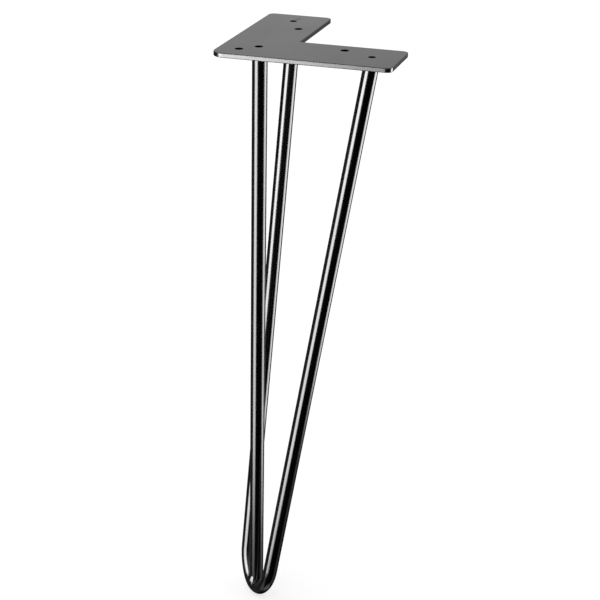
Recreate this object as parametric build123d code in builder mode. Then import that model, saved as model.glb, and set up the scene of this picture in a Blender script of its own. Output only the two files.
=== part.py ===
from build123d import *
import math
import os

# Three-rod hairpin table leg. Millimetres and degrees.
# +Z is up, out of the plate's top face, which lies at z = 0.
# +Y runs along the plate's diagonal, from its outer corner to its inner corner.
# +X runs across the diagonal, from the back leg to the right leg.
# The origin is where the centre lines of the plate's two arms cross.

# L-shaped plate
plate_side = 116.5
arm_width = 44.5
plate_thickness = 3.0
plate_corner_radius = 8.0
arm_end_radius = 4.0
inner_corner_radius = 1.0
plate_edge_round = 0.4

# Rods
rod_diameter = 10.0
overall_height = 409.4
bend_bottom_radius = 13.5
bend_side_radius = 31.0
bend_bottom_turn = 45.0
bend_setback = 0.7
corner_rod_lean = 0.44
corner_rod_end_height = 9.3

# Where the rods meet the plate: from its outer edges and from the ends of its arms
leg_end_inset = 17.8
leg_edge_inset = 23.2
corner_rod_inset = 24.5

# Holes, measured in the same way
screw_hole_diameter = 4.6
corner_screw_inset = 14.2
arm_screw_end_inset = 38.8
arm_screw_edge_inset = 32.8
rod_hole_diameter = 4.4
rod_hole_offset = 0.55

# Weld beads
plate_weld_leg = 2.5
foot_weld_bulge = 0.9
foot_weld_rise = 3.0
foot_weld_drop = 3.4
foot_weld_tuck = 0.4
foot_weld_band_top = 0.8
foot_weld_band_bottom = 1.4

# Sizes that follow from those above
root_two = math.sqrt(2.0)
rod_radius = rod_diameter / 2.0
rod_tilt = math.radians(corner_rod_lean)
bottom_turn = math.radians(bend_bottom_turn)
leg_along_arm = plate_side - leg_end_inset
arm_screw_along_arm = plate_side - arm_screw_end_inset
half_spread = (leg_along_arm - leg_edge_inset) / root_two
leg_top_y = (leg_along_arm + leg_edge_inset - arm_width) / root_two
corner_rod_y = (2.0 * corner_rod_inset - arm_width) / root_two

# The bend sits under the third rod's end, so the hairpin's lean follows from there and from the plate
corner_rod_end_y = corner_rod_y - (overall_height - corner_rod_end_height) * math.tan(rod_tilt)
bend_bottom_y = corner_rod_end_y - bend_setback
lean = math.atan2(leg_top_y - bend_bottom_y, overall_height - rod_radius)
bend_drop = (overall_height - rod_radius) / math.cos(lean)

# The bend in the hairpin's own plane: a tight arc at the bottom, then an easier arc up each side
bend_join_x = bend_bottom_radius * math.sin(bottom_turn)
bend_join_y = bend_bottom_radius * (1.0 - math.cos(bottom_turn)) - bend_drop
side_centre_x = bend_join_x - bend_side_radius * math.sin(bottom_turn)
side_centre_y = bend_join_y + bend_side_radius * math.cos(bottom_turn)

# Each leg leaves its side arc as a tangent, so its angle follows from the spread at the plate
leg_reach_x = half_spread - side_centre_x
leg_reach_y = -side_centre_y
leg_angle = math.acos(bend_side_radius / math.hypot(leg_reach_x, leg_reach_y)) - math.atan2(
    leg_reach_y, leg_reach_x
)
side_turn = (leg_angle + math.pi / 2.0 - bottom_turn) / 2.0
tangent_x = side_centre_x + bend_side_radius * math.cos(leg_angle)
tangent_y = side_centre_y - bend_side_radius * math.sin(leg_angle)
bend_side_x = side_centre_x + bend_side_radius * math.cos(side_turn)
bend_side_y = side_centre_y - bend_side_radius * math.sin(side_turn)

corner_rod_length = (overall_height - corner_rod_end_height) / math.cos(rod_tilt)

# Working planes
underside = Plane.XY.offset(-plate_thickness)
arm_plane = Plane(
    origin=(0, -arm_width / root_two, 0), x_dir=(1, 1, 0), z_dir=(0, 0, 1)
)
hairpin_plane = Plane(
    origin=(0, leg_top_y, 0),
    x_dir=(1, 0, 0),
    z_dir=(0, -math.cos(lean), math.sin(lean)),
)
corner_rod_plane = Plane(
    origin=(0, corner_rod_y, 0),
    x_dir=(1, 0, 0),
    z_dir=(0, math.sin(rod_tilt), math.cos(rod_tilt)),
)

# Plate: an L cut from flat steel, with rounded corners and slightly rounded edges
with BuildPart() as mounting_plate:
    with BuildSketch(arm_plane.offset(-plate_thickness)) as plate_outline:
        with BuildLine():
            Polyline(
                (0, 0),
                (plate_side, 0),
                (plate_side, arm_width),
                (arm_width, arm_width),
                (arm_width, plate_side),
                (0, plate_side),
                close=True,
            )
        make_face()
        inner_corner = plate_outline.vertices().sort_by_distance((arm_width, arm_width, 0))[0]
        outer_corner = plate_outline.vertices().sort_by_distance((0, 0, 0))[0]
        arm_corners = plate_outline.vertices() - [inner_corner, outer_corner]
        fillet(arm_corners, radius=arm_end_radius)
        outer_corner = plate_outline.vertices().sort_by_distance((0, 0, 0))[0]
        fillet(outer_corner, radius=plate_corner_radius)
        inner_corner = plate_outline.vertices().sort_by_distance((arm_width, arm_width, 0))[0]
        fillet(inner_corner, radius=inner_corner_radius)
    extrude(amount=plate_thickness)
    rims = (
        mounting_plate.faces().sort_by(Axis.Z)[-1].edges()
        + mounting_plate.faces().sort_by(Axis.Z)[0].edges()
    )
    fillet(rims, radius=plate_edge_round)
    with Locations(arm_plane):
        # Screw holes: one near the outer corner and one in each arm
        with Locations(
            (corner_screw_inset, corner_screw_inset),
            (arm_screw_along_arm, arm_screw_edge_inset),
            (arm_screw_edge_inset, arm_screw_along_arm),
        ):
            Hole(radius=screw_hole_diameter / 2.0)
        # Small holes over the rods, a little off their centre lines and closed below by their ends
        with Locations(
            (corner_rod_inset - rod_hole_offset, corner_rod_inset - rod_hole_offset),
            (leg_along_arm - rod_hole_offset, leg_edge_inset - rod_hole_offset),
            (leg_edge_inset - rod_hole_offset, leg_along_arm - rod_hole_offset),
        ):
            Hole(radius=rod_hole_diameter / 2.0)

# Hairpin: one round bar bent into a narrow U, its ends cut to lie flat under the plate
with BuildPart() as hairpin_rod:
    with BuildLine(hairpin_plane) as hairpin_path:
        right_leg = Line((half_spread, 0), (tangent_x, tangent_y))
        right_bend = ThreePointArc(
            (tangent_x, tangent_y), (bend_side_x, bend_side_y), (bend_join_x, bend_join_y)
        )
        bottom_bend = ThreePointArc(
            (bend_join_x, bend_join_y), (0, -bend_drop), (-bend_join_x, bend_join_y)
        )
        back_bend = ThreePointArc(
            (-bend_join_x, bend_join_y), (-bend_side_x, bend_side_y), (-tangent_x, tangent_y)
        )
        back_leg = Line((-tangent_x, tangent_y), (-half_spread, 0))
    with BuildSketch(Plane(origin=right_leg @ 0, z_dir=right_leg % 0)):
        Circle(rod_radius)
    sweep(path=hairpin_path.wires()[0])
    split(bisect_by=underside, keep=Keep.BOTTOM)

# Third rod: a straight bar from the plate's corner down into the bend, coped to sit on it
with BuildPart() as corner_rod:
    with BuildSketch(corner_rod_plane):
        Circle(rod_radius)
    extrude(amount=-corner_rod_length)
    split(bisect_by=underside, keep=Keep.BOTTOM)
    add(hairpin_rod.part, mode=Mode.SUBTRACT)

# Fillet welds under the plate, a ring around each rod
corner_weld_plane = Plane(
    origin=(0, corner_rod_y - plate_thickness * math.tan(rod_tilt), -plate_thickness),
    x_dir=(1, 0, 0),
    z_dir=corner_rod_plane.z_dir,
)
with BuildPart() as corner_rod_weld:
    with Locations(corner_weld_plane.offset(-plate_weld_leg)):
        Cone(
            bottom_radius=rod_radius,
            top_radius=rod_radius + 2.0 * plate_weld_leg,
            height=2.0 * plate_weld_leg,
            align=(Align.CENTER, Align.CENTER, Align.MIN),
        )
    split(bisect_by=underside, keep=Keep.BOTTOM)
    add(corner_rod.part, mode=Mode.SUBTRACT)

leg_up = (right_leg % 0) * -1.0
leg_at_plate = (right_leg @ 0) - leg_up * (plate_thickness / leg_up.Z)
leg_weld_plane = Plane(origin=leg_at_plate, x_dir=(1, 0, 0), z_dir=leg_up)
with BuildPart() as right_leg_weld:
    with Locations(leg_weld_plane.offset(-plate_weld_leg)):
        Cone(
            bottom_radius=rod_radius,
            top_radius=rod_radius + 2.0 * plate_weld_leg,
            height=2.0 * plate_weld_leg,
            align=(Align.CENTER, Align.CENTER, Align.MIN),
        )
    split(bisect_by=underside, keep=Keep.BOTTOM)
    add(hairpin_rod.part, mode=Mode.SUBTRACT)

with BuildPart() as back_leg_weld:
    mirror(right_leg_weld.part, about=Plane.YZ)

# Foot weld: a bead all round where the third rod's end sits in the bend
rod_end = corner_rod_plane.offset(-corner_rod_length).origin
foot_weld_plane = Plane(
    origin=rod_end,
    x_dir=(1, 0, 0),
    z_dir=(0, -math.cos(rod_tilt), math.sin(rod_tilt)),
)
with BuildPart() as foot_weld:
    with BuildSketch(foot_weld_plane):
        with BuildLine():
            Polyline(
                (0, foot_weld_rise),
                (rod_radius, foot_weld_rise),
                (rod_radius + foot_weld_bulge, foot_weld_band_top),
                (rod_radius + foot_weld_bulge, -foot_weld_band_bottom),
                (rod_radius - foot_weld_tuck, -foot_weld_drop),
                (0, -foot_weld_drop),
                close=True,
            )
        make_face()
    revolve(axis=Axis(rod_end, corner_rod_plane.z_dir), revolution_arc=360)
    add(corner_rod.part, mode=Mode.SUBTRACT)
    add(hairpin_rod.part, mode=Mode.SUBTRACT)

os.makedirs("parts", exist_ok=True)

mounting_plate.part.label = "mounting_plate"
hairpin_rod.part.label = "hairpin_rod"
corner_rod.part.label = "corner_rod"
corner_rod_weld.part.label = "corner_rod_weld"
right_leg_weld.part.label = "right_leg_weld"
back_leg_weld.part.label = "back_leg_weld"
foot_weld.part.label = "foot_weld"

export_step(mounting_plate.part, "parts/mounting_plate.step")
export_step(hairpin_rod.part, "parts/hairpin_rod.step")
export_step(corner_rod.part, "parts/corner_rod.step")
export_step(corner_rod_weld.part, "parts/corner_rod_weld.step")
export_step(right_leg_weld.part, "parts/right_leg_weld.step")
export_step(back_leg_weld.part, "parts/back_leg_weld.step")
export_step(foot_weld.part, "parts/foot_weld.step")

for piece in (
    mounting_plate,
    hairpin_rod,
    corner_rod,
    corner_rod_weld,
    right_leg_weld,
    back_leg_weld,
    foot_weld,
):
    box = piece.part.bounding_box()
    print(
        piece.part.label,
        "solids",
        len(piece.part.solids()),
        "volume",
        round(piece.part.volume, 2),
        "z",
        round(box.min.Z, 3),
        round(box.max.Z, 3),
    )
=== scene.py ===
# %% [markdown]
# # A black hairpin table leg
#
# The leg is a weldment: an L-shaped plate that screws to a table top, one round bar bent into a narrow U,
# and a straight third bar that runs from the plate's corner down into the bend. All of it is coated black.
# The solids come from the CAD model and stay as they are. This lesson gives them their coating, lays rippled
# weld beads over the joins, and lights the leg so that its round bars show the long streaks of a studio.

# %% Load the CAD model as a fixed frame
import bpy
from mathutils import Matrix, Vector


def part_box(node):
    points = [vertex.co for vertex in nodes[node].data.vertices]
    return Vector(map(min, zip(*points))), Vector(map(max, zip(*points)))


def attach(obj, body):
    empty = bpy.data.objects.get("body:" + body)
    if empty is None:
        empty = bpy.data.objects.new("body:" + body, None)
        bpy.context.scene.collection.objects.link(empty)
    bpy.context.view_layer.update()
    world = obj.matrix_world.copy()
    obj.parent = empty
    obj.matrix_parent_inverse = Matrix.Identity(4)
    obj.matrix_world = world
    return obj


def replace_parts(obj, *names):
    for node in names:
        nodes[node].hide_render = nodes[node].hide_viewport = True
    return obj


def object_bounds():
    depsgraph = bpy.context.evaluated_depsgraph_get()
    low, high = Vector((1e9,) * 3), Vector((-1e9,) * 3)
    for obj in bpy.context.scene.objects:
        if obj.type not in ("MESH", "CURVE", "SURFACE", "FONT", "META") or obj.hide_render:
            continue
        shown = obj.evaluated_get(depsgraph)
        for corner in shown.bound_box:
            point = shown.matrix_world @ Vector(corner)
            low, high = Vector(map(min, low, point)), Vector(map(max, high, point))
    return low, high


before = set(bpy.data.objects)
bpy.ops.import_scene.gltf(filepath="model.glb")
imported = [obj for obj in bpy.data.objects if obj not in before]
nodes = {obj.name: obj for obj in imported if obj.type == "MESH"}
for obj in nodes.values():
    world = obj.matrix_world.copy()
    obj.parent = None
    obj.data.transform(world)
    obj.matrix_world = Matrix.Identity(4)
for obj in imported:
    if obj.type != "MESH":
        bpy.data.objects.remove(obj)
cad_low, cad_high = [list(corner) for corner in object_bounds()]

import math
import bpy
import numpy as np
from mathutils import Matrix, Vector

print("CAD nodes:", sorted(nodes))
print("CAD box in metres:", np.round(cad_low, 4), np.round(cad_high, 4))

# %% [markdown]
# ## Shader maths as Python
#
# A coating is a handful of numbers that change a little over the surface. Wiring dozens of Math nodes by
# hand is hard to read, so one small class wraps a socket: adding or multiplying two wires adds the Math node
# for it. Every other kind of node comes from one method, which takes the node's type, then its settings,
# then its sockets.

# %% The wire class


class Wire:
    """An output socket in a node tree. Arithmetic on wires and numbers adds Math nodes to the tree."""

    def __init__(self, tree, socket):
        self.tree = tree
        self.socket = socket

    def node(self, kind, settings=None, out=0, **sockets):
        """Adds a node of this kind, sets its settings, then its sockets, and returns one output.

        A socket is given by its name, with _ for a space, or by its number after a _.
        """
        made = self.tree.nodes.new(kind)
        for name, value in (settings or {}).items():
            setattr(made, name, value)
        for name, value in sockets.items():
            key = int(name[1:]) if name[0] == "_" else name.replace("_", " ")
            if isinstance(value, Wire):
                self.tree.links.new(value.socket, made.inputs[key])
            else:
                made.inputs[key].default_value = value
        return Wire(self.tree, made.outputs[out])

    def _math(self, operation, first, second=0.0):
        return self.node("ShaderNodeMath", {"operation": operation}, _0=first, _1=second)

    def __add__(self, other):
        return self._math("ADD", self, other)

    def __sub__(self, other):
        return self._math("SUBTRACT", self, other)

    def __rsub__(self, other):
        return self._math("SUBTRACT", other, self)

    def __mul__(self, other):
        return self._math("MULTIPLY", self, other)

    def __abs__(self):
        return self._math("ABSOLUTE", self)

    __radd__ = __add__
    __rmul__ = __mul__

    def step(self, start, end):
        """0 below start and 1 above end, with a smooth ramp between; start may be the larger."""
        return self.node(
            "ShaderNodeMapRange",
            {"interpolation_type": "SMOOTHSTEP"},
            Value=self, From_Min=start, From_Max=end, To_Min=0.0, To_Max=1.0,
        )


def new_material(name):
    """A fresh material: its Principled shader, and a wire of the piece's own Object coordinates."""
    material = bpy.data.materials.new(name)
    material.use_nodes = True
    tree = material.node_tree
    shader = tree.nodes["Principled BSDF"]
    place = tree.nodes.new("ShaderNodeTexCoord")
    return material, shader, Wire(tree, place.outputs["Object"])


def plug(wire, socket):
    """Joins a wire to a shader's own socket."""
    wire.tree.links.new(wire.socket, socket)


print("shader helpers ready")

# %% [markdown]
# ## The black coating
#
# The real finish is a black coat baked on over steel. It is not quite even: it has a fine orange-peel skin,
# its gloss drifts a little from place to place, and one small patch is faintly darker and duller. A flat
# black would look like plastic, so noise at two sizes moves the roughness and colour, and a third, very fine
# one is the skin. The plate is a little duller than the bars, so one function makes both from a few numbers.
# Some places differ from the rest, such as a cut edge, or a hole's rim, where a matt black is mixed in as
# painted shade, and the function takes a mask for each kind.

# %% The coating function
cloud_share = 0.7
cut_dullness = 0.16
cut_coat_weight = 0.45
cut_coat_roughness = 0.34
# A dead matt black, mixed into the holes as painted shade.
shade_black = (0.002, 0.002, 0.002, 1.0)


def black_coat(
    name, dark, light, gloss, dull, skin_size, skin_height, ior=1.5, shade_mask=None, rough=None, roll=None
):
    """Near-black coat: colour and roughness drift with slow noise, and fine noise dents the skin.

    Roughness runs from gloss to dull, and colour from dark to light, as slow cloud noise goes from 0 to 1.
    The skin is a bump of skin_height metres, with grains about skin_size metres across.
    The last three, where given, are functions of the Object coordinates. The first is painted shade: where
    it is 1, a matt black with no gloss is mixed in. rough is 1 on cut steel, where the coat lies thicker
    over a coarser skin. roll is how far an edge falls back, in metres, and is taken off the bump's height.
    """
    material, shader, place = new_material(name)
    clouds = place.node("ShaderNodeTexNoise", Vector=place, Scale=22.0, Detail=3.0, Roughness=0.55)
    streaks = place.node("ShaderNodeTexNoise", Vector=place, Scale=140.0, Detail=2.0, Roughness=0.5)
    drift = clouds.step(0.3, 0.7) * cloud_share + streaks * (1.0 - cloud_share)
    roughness = dull * drift + gloss * (1.0 - drift)
    if rough:
        cut = rough(place)
        roughness = roughness + cut * cut_dullness
        plug(cut * cut_coat_weight, shader.inputs["Coat Weight"])
        shader.inputs["Coat Roughness"].default_value = cut_coat_roughness
    plug(roughness, shader.inputs["Roughness"])
    colour = drift.node(
        "ShaderNodeMix", {"data_type": "RGBA"}, out=2, _0=drift, _6=(*dark, 1.0), _7=(*light, 1.0)
    )
    plug(colour, shader.inputs["Base Color"])
    skin = place.node("ShaderNodeTexNoise", Vector=place, Scale=1.0 / skin_size, Detail=1.0)
    if roll:
        skin = skin - roll(place) * (1.0 / skin_height)
    bump = skin.node("ShaderNodeBump", Strength=1.0, Distance=skin_height, Height=skin)
    plug(bump, shader.inputs["Normal"])
    shader.inputs["IOR"].default_value = ior
    # Painted shade: where the mask is 1, a matt black with no gloss is mixed into the coat.
    if shade_mask:
        tree = material.node_tree
        matt = tree.nodes.new("ShaderNodeBsdfPrincipled")
        matt.inputs["Base Color"].default_value = shade_black
        matt.inputs["Roughness"].default_value = 1.0
        matt.inputs["Specular IOR Level"].default_value = 0.0
        both = place.node(
            "ShaderNodeMixShader",
            Fac=shade_mask(place), _1=Wire(tree, shader.outputs[0]), _2=Wire(tree, matt.outputs[0]),
        )
        plug(both, tree.nodes["Material Output"].inputs["Surface"])
    print("coat", name, "roughness", gloss, "to", dull)
    return material


# %% [markdown]
# ## Where the coat differs
#
# The holes are deep and little light gets down them, so their walls and a narrow rim round each are mixed
# with a dead matt black, which is painted shade. The plate's two long outer edges are as the shears left
# them: coarser, with more coat on them. All the plate's edges are rolled over a little at the top and
# underside. The bars' sawn ends lie against the plate and show down its holes, so they get the same painted
# shade. All this could be painted on a map by hand, but each place is a plain region of the part, so a
# distance or a height in Object coordinates finds it.
# region of the part, so a distance or a height in Object coordinates finds it.

# %% The plate's holes, and a mask of painted shade for them
corner_hole, corner_bar_hole = (0.0, -0.01138), (0.0, 0.0024)
arm_hole, arm_bar_hole = (0.03175, 0.04667), (0.05339, 0.05395)
wide_rim, leg_rim, rim_fade = 0.0026, 0.0023, 0.0003
plate_holes = [(*corner_hole, wide_rim), (*corner_bar_hole, wide_rim)]
for mirror in (1.0, -1.0):
    plate_holes.append((mirror * arm_hole[0], arm_hole[1], wide_rim))
    plate_holes.append((mirror * arm_bar_hole[0], arm_bar_hole[1], leg_rim))
# A small round patch beside the back leg's hole, faintly darker and duller.
dark_patch_place = (-0.0571, 0.0598, 0.0)
dark_patch_inner, dark_patch_outer, dark_patch_depth = 0.0008, 0.0028, 0.35


def distance_to(place, spot):
    """How far a place is from a spot, in metres."""
    return place.node("ShaderNodeVectorMath", {"operation": "DISTANCE"}, out=1, _0=place, _1=spot)


def hole_shade_and_patch(place):
    """Painted shade: 1 in each of the plate's holes and on a narrow rim around it, by distance from its axis.

    Beside the back leg's hole a small round patch gets a faint share of the same matt black.
    """
    flat = place.node("ShaderNodeVectorMath", {"operation": "MULTIPLY"}, _0=place, _1=(1.0, 1.0, 0.0))
    mask = distance_to(flat, dark_patch_place).step(dark_patch_outer, dark_patch_inner) * dark_patch_depth
    for across, along, rim in plate_holes:
        mask = mask + distance_to(flat, (across, along, 0.0)).step(rim + rim_fade, rim)
    return mask


print("holes to darken:", len(plate_holes))

# %% Masks for the plate's edges, and painted shade on the bars' ends
plate_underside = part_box("mounting_plate")[0][2]
outer_corner = -0.03147
face_start, face_full = 0.0002, 0.0005
edge_band = (0.0035, 0.002)
past_corner, before_arm_end = (0.009, 0.013), (0.16, 0.157)
roll_start, roll_end, roll_depth = 0.0008, 0.0015, 0.0002
bar_end_start, bar_end_full = plate_underside - 0.0003, plate_underside - 0.0001


def split(place):
    """The three coordinates of a place, as wires."""
    across = place.node("ShaderNodeSeparateXYZ", Vector=place)
    return [Wire(place.tree, socket) for socket in across.socket.node.outputs]


def cut_edges(place):
    """1 on the plate's two long outer edges, between the roundings at its corners, top and underside.

    A point has a distance from the outer corner along each of the two edges. near is the smaller of them and
    far the larger, each times the square root of two: how far the point is along the diagonal, less or plus
    how far it is beside it.
    """
    beside, along, height = split(place)
    near = along - outer_corner - abs(beside)
    far = along - outer_corner + abs(beside)
    face = height.step(-face_start, -face_full)
    face = face * height.step(plate_underside + face_start, plate_underside + face_full)
    return face * near.step(*edge_band) * far.step(*past_corner) * far.step(*before_arm_end)


def rolled_edges(place):
    """How far the upright edges fall back near the plate's top and underside: a parabola in height."""
    from_middle = abs(split(place)[2] - 0.5 * plate_underside)
    share = from_middle.node(
        "ShaderNodeMapRange", Value=from_middle, From_Min=roll_start, From_Max=roll_end
    )
    return share * share * roll_depth


def bar_end_shade(place):
    """Painted shade: 1 on the bars' sawn ends, which lie on the plate and show only down its small holes."""
    return split(place)[2].step(bar_end_start, bar_end_full)


print("plate's underside at", round(plate_underside, 4), "m")

# %% One coat for the plate and two for the bars
# The plate's holes get painted shade: a matt black mixed into the coat.
plate_coat = black_coat(
    "satin_black_plate",
    dark=(0.005, 0.005, 0.0053), light=(0.009, 0.009, 0.0095), gloss=0.17, dull=0.24,
    skin_size=0.0011, skin_height=0.000002, shade_mask=hole_shade_and_patch, rough=cut_edges, roll=rolled_edges,
)
# The bars' ends get painted shade, a matt black, where they show down the plate's holes.
bar_finish = dict(
    dark=(0.0012, 0.0012, 0.0013), light=(0.0024, 0.0024, 0.0026),
    skin_size=0.0014, skin_height=0.000001, shade_mask=bar_end_shade,
)
bar_coat = black_coat("gloss_black_bar", gloss=0.15, dull=0.21, **bar_finish)
# The third bar's coat is the bars' one with a lower IOR, which dims its streaks a little: painted shade.
corner_bar_coat = black_coat("gloss_black_corner_bar", gloss=0.16, dull=0.22, ior=1.46, **bar_finish)

# %% Put the coats on the CAD nodes
coats = {"mounting_plate": plate_coat, "hairpin_rod": bar_coat, "corner_rod": corner_bar_coat}
for name, coat in coats.items():
    slots = nodes[name].data.materials
    slots.clear()
    slots.append(coat)
print("coated:", ", ".join(coats))

# %% [markdown]
# ## Weld beads
#
# A weld is laid as a row of small overlapping puddles, and each one leaves a ripple when it sets. The CAD
# beads are smooth rings, so each gets a rippled bead in its place. A bead could be a tube with a bump map,
# but under gloss black the ripples catch the light along their edges, so they are in the mesh: a profile
# carried round the bar, lifted by a wave along its run.

# %% Ripples, and a coat for the beads
ripple_sharpness = 1.6


def ripple(turn, share, count, lag):
    """Puddle edges: a wave round the ring, sharpened, whose crests lag behind at the sides of the bead."""
    wave = 0.5 + 0.5 * np.cos(count * turn + lag * (2.0 * share - 1.0) ** 2)
    return wave ** ripple_sharpness


weld_coat = black_coat(
    "gloss_black_weld",
    dark=(0.0014, 0.0014, 0.0015), light=(0.0028, 0.0028, 0.003), gloss=0.07, dull=0.12,
    skin_size=0.0009, skin_height=0.000002,
)

# %% Closed strips: a profile carried round a ring
crease_angle = math.radians(55.0)


def closed_strip(name, points):
    """Mesh from a grid of points that closes both ways, around the ring and around the profile.

    The volume under the quads, summed from their middle, is negative where the grid runs the wrong way
    round, and then every face is turned.
    """
    around, across = points.shape[:2]
    number = np.arange(around * across).reshape(around, across)
    ahead, beside = np.roll(number, -1, axis=0), np.roll(number, -1, axis=1)
    both = np.roll(ahead, -1, axis=1)
    quads = np.stack([number, ahead, both, beside], axis=-1).reshape(-1, 4)
    flat = points.reshape(-1, 3)
    middle = flat.mean(axis=0)
    a, b, c, d = (flat[quads[:, k]] - middle for k in range(4))
    volume = (a * (np.cross(b, c) + np.cross(c, d))).sum() / 6.0
    if volume < 0.0:
        quads = quads[:, ::-1]
    mesh = bpy.data.meshes.new(name)
    mesh.from_pydata(flat.tolist(), [], quads.tolist())
    mesh.shade_smooth()
    mesh.set_sharp_from_angle(angle=crease_angle)
    mesh.materials.append(weld_coat)
    piece = bpy.data.objects.new(name, mesh)
    bpy.context.scene.collection.objects.link(piece)
    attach(piece, "root")
    print(name, "volume", round(abs(volume) * 1e9, 1), "mm3,", 2 * len(quads), "triangles")
    return piece


# %% [markdown]
# ## The three welds under the plate
#
# Each bar's sawn end lies flat on the plate, and a fillet bead runs round it in the corner between them. The
# side legs lean, so the corner is sharper on one side: the bead is worked out from the bar's own axis, with
# one toe running down the bar and the other out along the plate.

# %% The bars' places and directions
bar_radius = (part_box("corner_rod")[1][0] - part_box("corner_rod")[0][0]) / 2.0
corner_bar, right_leg = (0.0, 0.00318), (0.05339, 0.05473)
back_leg = (-right_leg[0], right_leg[1])
hairpin_lean = math.radians(7.8)
leg_angle = math.radians(5.18)
corner_bar_lean = math.radians(0.44)

hairpin_up = np.array([0.0, math.sin(hairpin_lean), math.cos(hairpin_lean)])
right_leg_up = math.sin(leg_angle) * np.array([1.0, 0.0, 0.0]) + math.cos(leg_angle) * hairpin_up
back_leg_up = right_leg_up * np.array([-1.0, 1.0, 1.0])
corner_bar_up = np.array([0.0, math.sin(corner_bar_lean), math.cos(corner_bar_lean)])
print("bar radius", round(bar_radius, 4), "m")

# %% Ring beads
weld_leg = 0.0025
ring_bow, ring_ripple = 0.00035, 0.00022
ring_puddles, ring_lag = 26.0, 1.8
ring_steps, ring_profile_steps = 216, 13


def ring_weld(name, bar, up, start):
    """Fillet bead between a bar and the plate: a bowed line from a toe on the bar to a toe on the plate.

    Round the ring by turn, and across the bead by share, from 0 on the bar to 1 on the plate. The straight
    line between the toes is bowed outwards by a parabola, and the ripple rides on the same parabola.
    """
    top = np.array([bar[0], bar[1], 0.0])
    foot = top + up * (plate_underside / up[2])
    side = np.cross(up, [0.0, 1.0, 0.0])
    side = side / np.linalg.norm(side)
    turn = np.linspace(0.0, 2.0 * np.pi, ring_steps, endpoint=False)[:, None, None] + start
    share = np.linspace(0.0, 1.0, ring_profile_steps)[None, :, None]
    out = np.cos(turn) * side + np.sin(turn) * np.cross(up, side)
    corner = foot + bar_radius * (out - up * out[..., 2:] / up[2])
    level = out * np.array([1.0, 1.0, 0.0])
    level = level / np.linalg.norm(level, axis=-1, keepdims=True)
    uneven = 1.0 + 0.07 * np.sin(3.0 * turn + 1.0) + 0.05 * np.sin(7.0 * turn)
    bar_toe = corner - up * weld_leg * uneven
    plate_toe = corner + level * weld_leg * (2.0 - uneven)
    outward = (level - up) / np.linalg.norm(level - up, axis=-1, keepdims=True)
    bow = 4.0 * share * (1.0 - share)
    lift = ring_bow * bow + ring_ripple * bow * ripple(turn, share, ring_puddles, ring_lag)
    face = (1.0 - share) * bar_toe + share * plate_toe + lift * outward
    return closed_strip(name, np.concatenate([face, corner], axis=1))


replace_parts(ring_weld("corner_bar_bead", corner_bar, corner_bar_up, 0.3), "corner_rod_weld")
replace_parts(ring_weld("right_leg_bead", right_leg, right_leg_up, 1.1), "right_leg_weld")
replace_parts(ring_weld("back_leg_bead", back_leg, back_leg_up, 2.0), "back_leg_weld")

# %% [markdown]
# ## The weld at the foot
#
# The third bar ends on the inside of the bend. Its flat end touches only along the top of the bend, so the
# bead is fat at the front and back, where it fills the gap below the bar's rim, and thin at the sides, where
# the bend rises. A little beside its front it was started, and there it climbs higher up the bar in a lump
# that carries the brightest glint of the whole foot. A plain ring round the bar gives the fat part, and a
# smooth rise on it the lump. Where the ring would dip into the bend, its points are pushed out to the bend's
# skin in a hollow fillet, so the bead follows it.

# %% The bend's skin
bar_end_height = 0.0093
bend_radius = 0.0135
foot_centre = np.array([0.0, corner_bar[1], 0.0]) + corner_bar_up * (
    (cad_low[2] + bar_end_height) / corner_bar_up[2]
)
bend_drop = (-cad_low[2] - bar_radius) / math.cos(hairpin_lean) - bend_radius
bend_centre = np.array([0.0, right_leg[1], 0.0]) - bend_drop * hairpin_up
bend_normal = np.array([0.0, -math.cos(hairpin_lean), math.sin(hairpin_lean)])


def out_of_bend(points, skin, blend):
    """Moves points inside the bent bar out to its skin, away from the nearest point of its centre line.

    The new distance is a smooth maximum of the old one and the skin's: within blend of the skin it lies a
    little above both, which leaves a hollow fillet where bead and bar meet.
    """
    off = points - bend_centre
    along = (off @ bend_normal)[..., None] * bend_normal
    flat = off - along
    reach = np.linalg.norm(flat, axis=-1, keepdims=True)
    core = bend_centre + bend_radius * flat / reach
    away = points - core
    depth = np.linalg.norm(away, axis=-1, keepdims=True)
    mix = np.clip(0.5 + 0.5 * (skin - depth) / blend, 0.0, 1.0)
    return core + away * (depth + mix * (skin - depth) + blend * mix * (1.0 - mix)) / depth


print("bend's centre", np.round(bend_centre, 4), "m")

# %% Foot bead
toe_rise, toe_waver, toe_drop = 0.003, 0.0002, 0.0034
foot_swell, foot_ripple, foot_tuck = 0.0004, 0.0001, 0.0005
foot_puddles, foot_lag = 14.0, 1.5
lump_rise, lump_width = 0.0022, 0.0022
lump_front, lump_slant, lump_front_ease = -22.0, 16.0, 26.0
lump_back, lump_back_ease = 158.0, 45.0
foot_fillet, thin_blend = 0.003, 0.0001
face_sunk, inside_sunk = 0.00005, 0.0003
foot_steps, foot_profile_steps = 240, 25


def ease(value):
    """A smooth step: 0 below 0 and 1 above 1, and between them three squares less two cubes."""
    value = np.clip(value, 0.0, 1.0)
    return value ** 2 * (3.0 - 2.0 * value)


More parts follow.
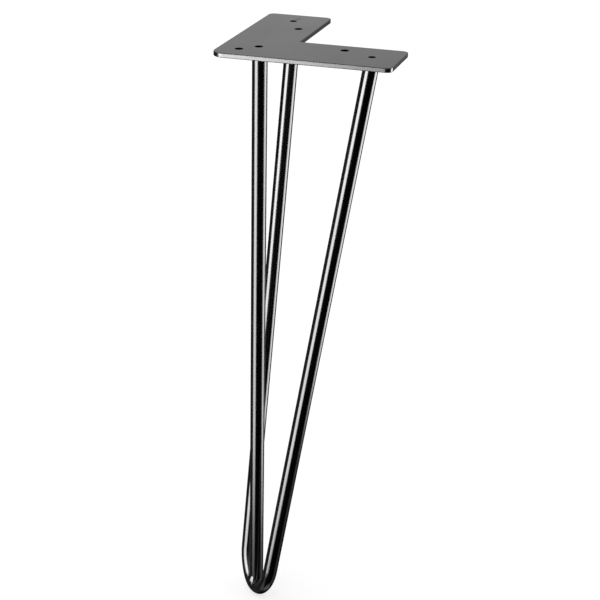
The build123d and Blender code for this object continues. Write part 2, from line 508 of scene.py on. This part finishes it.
def foot_weld_bead(name):
    """Bead round the third bar's end: radius and height run down from a toe on the bar to one under the rim.

    Across the bead by share: the height falls evenly from the upper toe to the lower, the radius swells by a
    half sine and draws in at the bottom, and the ripple rides on the swell. The lump eases in and out by
    turn, with its front side slanting back towards the lower toe. It lifts the upper toe, and widens the bead
    like a cone. Two rows of points inside the bar and the bend close the profile.
    """
    turn = np.linspace(-np.pi, np.pi, foot_steps, endpoint=False)[:, None, None]
    share = np.linspace(0.0, 1.0, foot_profile_steps)[None, :, None]
    side = np.array([1.0, 0.0, 0.0])
    out = np.cos(turn) * side + np.sin(turn) * np.cross(corner_bar_up, side)
    lump = ease((np.radians(lump_front - lump_slant * share) - turn) / np.radians(lump_front_ease))
    lump = lump * ease((turn + np.radians(lump_back)) / np.radians(lump_back_ease))
    rise = toe_rise + toe_waver * np.sin(4.0 * turn + 0.5) + lump_rise * lump[:, :1]
    swell = np.sin(np.pi * share ** 0.6)
    wave = ripple(turn, share, foot_puddles, foot_lag)
    radius = bar_radius + foot_swell * swell + foot_ripple * swell * wave - foot_tuck * share ** 3
    radius = radius + lump_width * lump * share * (1.0 - share ** 8)
    height = rise - (rise + toe_drop) * share
    face = foot_centre + radius * out + height * corner_bar_up
    face = out_of_bend(face, bar_radius - face_sunk, foot_fillet * (1.0 - share ** 8) + thin_blend)
    lower = foot_centre + 0.6 * bar_radius * out - 0.5 * toe_drop * corner_bar_up
    lower = out_of_bend(lower, bar_radius - inside_sunk, thin_blend)
    upper = foot_centre + 0.6 * bar_radius * out + 0.5 * rise * corner_bar_up
    return closed_strip(name, np.concatenate([face, lower, upper], axis=1))


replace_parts(foot_weld_bead("foot_bead"), "foot_weld")

# %% [markdown]
# ## Floor
#
# The leg hangs from a table in use, and its bend just touches the floor. The floor is a plain white sheet at
# the height of the bend's lowest point, wide enough to fill the picture, and it takes a faint shadow. The
# bars would mirror it as one flat glow, so mirror rays pass it and see the studio behind instead.

# %% A round white floor
floor_radius = 12.0
floor_grey = (0.5, 0.5, 0.5, 1.0)
floor_glow = 0.65


def ring_sheet(name, radius, height, rings=24, spokes=96):
    """A flat disc: rings of points whose radius grows with the square of the ring's number, at one height."""
    reach = radius * np.linspace(0.0, 1.0, rings + 1)[1:] ** 2
    turn = np.linspace(0.0, 2.0 * np.pi, spokes, endpoint=False)
    across, around = np.meshgrid(reach, turn, indexing="ij")
    level = np.full_like(across, height)
    points = np.stack([across * np.cos(around), across * np.sin(around), level], axis=-1)
    points = np.vstack([[[0.0, 0.0, height]], points.reshape(-1, 3)])
    number = 1 + np.arange(rings * spokes).reshape(rings, spokes)
    after = np.roll(number, -1, axis=1)
    quads = np.stack([number[:-1], number[1:], after[1:], after[:-1]], axis=-1).reshape(-1, 4)
    middle = np.stack([np.zeros(spokes, int), number[0], after[0]], axis=-1)
    mesh = bpy.data.meshes.new(name)
    mesh.from_pydata(points.tolist(), [], quads.tolist() + middle.tolist())
    sheet = bpy.data.objects.new(name, mesh)
    bpy.context.scene.collection.objects.link(sheet)
    return sheet


floor = ring_sheet("floor", floor_radius, cad_low[2])
floor_paint, floor_shader, floor_place = new_material("white_floor")
floor_shader.inputs["Base Color"].default_value = floor_grey
floor_shader.inputs["Roughness"].default_value = 0.9
floor_shader.inputs["Specular IOR Level"].default_value = 0.0
seen = floor_place.node("ShaderNodeLightPath", out="Is Camera Ray")
for kind in ("Is Glossy Ray", "Is Transmission Ray"):
    seen = seen + floor_place.node("ShaderNodeLightPath", out=kind)
plug(seen * floor_glow, floor_shader.inputs["Emission Color"])
floor_shader.inputs["Emission Strength"].default_value = 1.0
floor.data.materials.append(floor_paint)
floor.visible_glossy = False
print("floor at", round(cad_low[2], 4), "m")

# %% [markdown]
# ## Softboxes
#
# A black gloss bar has almost no colour of its own: what shows on it is the room. In the photograph each bar
# carries a broad white streak on its left and a narrower one near its right edge, with black between, which
# is what two tall softboxes give when dark cards stand around them. They could be painted on the sky, but
# each streak fades at a different height on each bar, which only panels at a real distance do. So each
# softbox is an upright sheet, brighter towards its top and soft at its edges, that only mirror rays can see.

# %% Two softboxes
panel_distance = 0.9
panel_top = 0.16
side_soft, low_soft, top_soft = 0.06, 0.12, 0.18


def light_panel(name, turn, left, right, low, strength, fall):
    """An upright glowing sheet that faces the leg from this azimuth in degrees.

    Along the sheet runs a level axis through its middle, and left, right and low are where its glow is at
    half strength. The glow grows by fall for each metre up, and steps softly to nothing at every edge.
    """
    facing = np.array([math.cos(math.radians(turn)), math.sin(math.radians(turn)), 0.0])
    along = np.array([-facing[1], facing[0], 0.0])
    ends = np.array([left - side_soft, right + side_soft])
    heights = np.array([low - low_soft, panel_top + top_soft])
    across, upright = np.meshgrid(ends, heights, indexing="ij")
    points = panel_distance * facing + across[..., None] * along
    points = points + upright[..., None] * np.array([0.0, 0.0, 1.0])
    mesh = bpy.data.meshes.new(name)
    mesh.from_pydata(points.reshape(-1, 3).tolist(), [], [[0, 1, 3, 2]])
    panel = bpy.data.objects.new(name, mesh)
    bpy.context.scene.collection.objects.link(panel)
    paint, shader, place = new_material(name)
    level = place.node(
        "ShaderNodeVectorMath", {"operation": "DOT_PRODUCT"}, out=1, _0=place, _1=tuple(along)
    )
    height = split(place)[2]
    glow = level.step(left - side_soft, left + side_soft) * level.step(right + side_soft, right - side_soft)
    glow = glow * height.step(low - low_soft, low + low_soft)
    glow = glow * height.step(panel_top + top_soft, panel_top - top_soft)
    plug(glow * (height * fall + 1.0), shader.inputs["Emission Color"])
    shader.inputs["Emission Strength"].default_value = strength
    shader.inputs["Base Color"].default_value = (0.0, 0.0, 0.0, 1.0)
    shader.inputs["Specular IOR Level"].default_value = 0.0
    mesh.materials.append(paint)
    for ray_kind in ("camera", "diffuse", "transmission", "volume_scatter", "shadow"):
        setattr(panel, "visible_" + ray_kind, False)
    print(name, "at azimuth", turn, "strength", strength)


light_panel("left_softbox", turn=-81.0, left=-0.305, right=0.35, low=-0.885, strength=24.5, fall=0.55)
light_panel("right_softbox", turn=66.0, left=-0.275, right=0.319, low=-0.903, strength=16.4, fall=0.61)

# %% [markdown]
# ## The rest of the studio
#
# Behind the leg stands a white backdrop, which the plate's top mirrors. Below it the studio is dark, but for
# faint images of the two softboxes in the shiny table under the leg, the lit spot straight below, and two
# weak cards, one at the side and one behind. The bars' edges and the bend's underside mirror those, and would
# be lost in black without them. They are far enough away to be painted on the world, for mirror rays alone.
# All other rays see an even white world, which lights the floor and the coat at a plain level, and a soft
# lamp adds the faint shadow.

# %% Directions on the sky, and soft-edged cards
world = bpy.data.worlds.new("studio")
bpy.context.scene.world = world
world.use_nodes = True
world.cycles.sampling_method = "NONE"
sky = world.node_tree
sky.nodes.clear()
sight = Wire(sky, sky.nodes.new("ShaderNodeTexCoord").outputs["Generated"])
sight_x, sight_y, sight_z = split(sight)
azimuth = sight.node("ShaderNodeMath", {"operation": "ARCTAN2"}, _0=sight_y, _1=sight_x)
azimuth = azimuth * math.degrees(1.0)
elevation = sight.node("ShaderNodeMath", {"operation": "ARCSINE"}, _0=sight_z) * math.degrees(1.0)


def card(strength, start, end, edge, low, low_edge, high, high_edge):
    """A soft-edged patch of light between two azimuths and two elevations, in degrees."""
    across = azimuth.step(start - edge, start + edge) * azimuth.step(end + edge, end - edge)
    upright = elevation.step(low - low_edge, low + low_edge)
    upright = upright * elevation.step(high + high_edge, high - high_edge)
    return strength * across * upright


print("sky ready for cards")

# %% The world: even white light, and a studio for mirror rays
plain_light = 0.72
left_image = card(0.8, start=-112.0, end=-88.0, edge=8.0, low=-70.0, low_edge=6.0, high=-37.0, high_edge=4.0)
right_image = card(0.4, start=42.0, end=74.0, edge=8.0, low=-72.0, low_edge=8.0, high=-37.0, high_edge=4.0)
table_glow = 0.88 * elevation.step(-66.0, -76.0) * sight_x.step(-0.1, 0.03)
dim_side = card(0.096, start=-176.0, end=-114.0, edge=6.0, low=-66.0, low_edge=6.0, high=-8.0, high_edge=8.0)
back_card = card(0.24, start=92.0, end=150.0, edge=5.0, low=-32.0, low_edge=5.0, high=4.0, high_edge=4.0)
backdrop = 0.8 - 0.096 * elevation.step(11.0, 16.0) + 0.28 * elevation.step(18.0, 40.0)
backdrop = elevation.step(2.0, 9.0) * backdrop * (1.0 - 0.14 * azimuth.step(153.0, 146.0))
studio = left_image + right_image + table_glow + dim_side + back_card + backdrop

mirror_ray = sight.node("ShaderNodeLightPath", out="Is Glossy Ray")
camera_ray = sight.node("ShaderNodeLightPath", out="Is Camera Ray")
brightness = mirror_ray * studio + (1.0 - mirror_ray) * plain_light
brightness = brightness + camera_ray * (1.0 - plain_light)
background = sky.nodes.new("ShaderNodeBackground")
background.inputs["Color"].default_value = (1.0, 1.0, 1.0, 1.0)
plug(brightness, background.inputs["Strength"])
sky.links.new(background.outputs[0], sky.nodes.new("ShaderNodeOutputWorld").inputs["Surface"])
print("world light for plain rays", plain_light)

# %% A soft lamp for the shadow
lamp_data = bpy.data.lights.new("soft_sun", "SUN")
lamp_data.energy = 0.3
lamp_data.angle = math.radians(40.0)
lamp = bpy.data.objects.new("soft_sun", lamp_data)
lamp.rotation_euler = (math.radians(28.0), math.radians(-18.0), 0.0)
lamp.visible_glossy = False
bpy.context.scene.collection.objects.link(lamp)
print("sun energy", lamp_data.energy)

# %% [markdown]
# ## Camera
#
# The camera's place, turn and lens were worked out from the straight edges of the plate and bars, taking the
# image as 600 by 600. It looks down on the plate from the right of its outer corner, with a long lens.

# %% Camera at the photograph's viewpoint
view_azimuth = math.radians(62.57)
view_elevation = math.radians(23.76)
view_roll = math.radians(-0.68)
camera_place = Vector((0.81556, -0.38954, 0.22391))
image_size = 600.0
focal_pixels = 1456.67

back = Vector((
    math.sin(view_azimuth) * math.cos(view_elevation),
    -math.cos(view_azimuth) * math.cos(view_elevation),
    math.sin(view_elevation),
))
right = Vector((math.cos(view_azimuth), math.sin(view_azimuth), 0.0))
down = right.cross(back)
right, down = (
    math.cos(view_roll) * right + math.sin(view_roll) * down,
    math.cos(view_roll) * down - math.sin(view_roll) * right,
)
camera_data = bpy.data.cameras.new("camera")
camera_data.sensor_width = 36.0
camera_data.lens = camera_data.sensor_width * focal_pixels / image_size
camera = bpy.data.objects.new("camera", camera_data)
camera.matrix_world = Matrix.Translation(camera_place) @ Matrix((right, -down, back)).transposed().to_4x4()
bpy.context.scene.collection.objects.link(camera)
bpy.context.scene.camera = camera
print("lens", round(camera_data.lens, 2), "mm")

# %% Colours straight to the screen
bpy.context.scene.view_settings.view_transform = "Standard"
